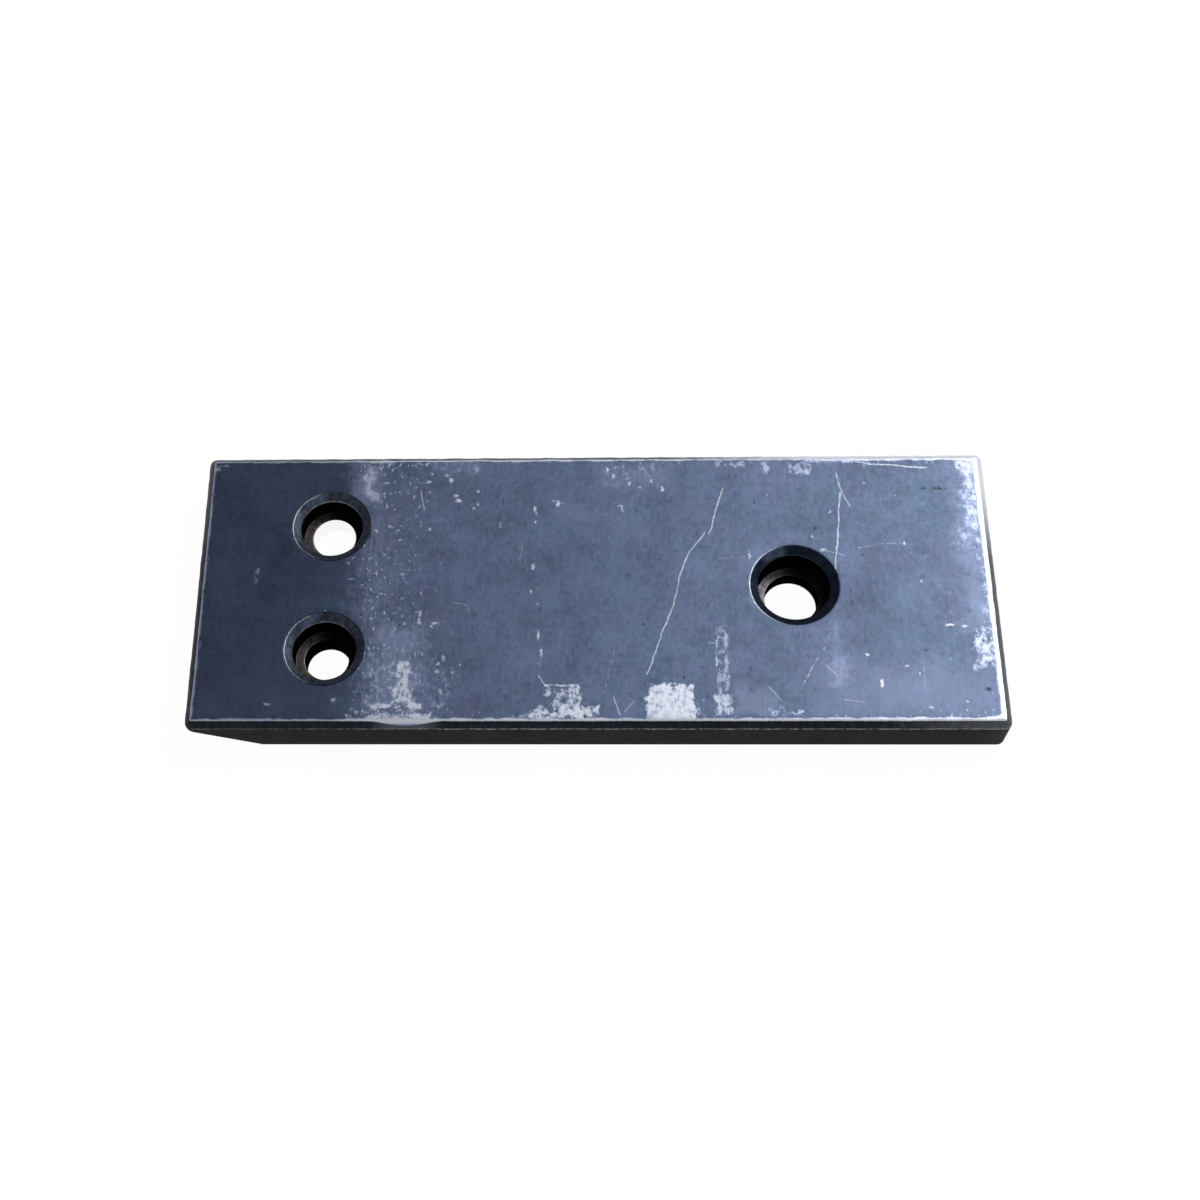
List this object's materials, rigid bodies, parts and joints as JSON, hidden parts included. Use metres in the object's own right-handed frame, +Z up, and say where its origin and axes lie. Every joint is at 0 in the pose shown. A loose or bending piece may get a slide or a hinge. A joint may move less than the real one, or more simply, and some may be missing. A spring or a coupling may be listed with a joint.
{
  "type": "machined mounting block",
  "caption": "Flat rectangular steel mounting block, chamfered all round, with a bevelled nose underneath and countersunk, counterbored screw holes.",
  "frame": {"origin": "bottom centre of the block's bounding box", "axes": "+X along the length, from the bevelled nose to the square end with the single hole; +Y across the width; +Z up, out of the counterbored face"},
  "size_m": [0.19, 0.0724, 0.0125],
  "materials": {
    "steel": "worn bare steel with a dark blue-grey oiled film, rubbed bright at the edges and in patches, scratched"
  },
  "bodies": {
    "root": {"mounting_block": "steel"}
  },
  "joints": []
}
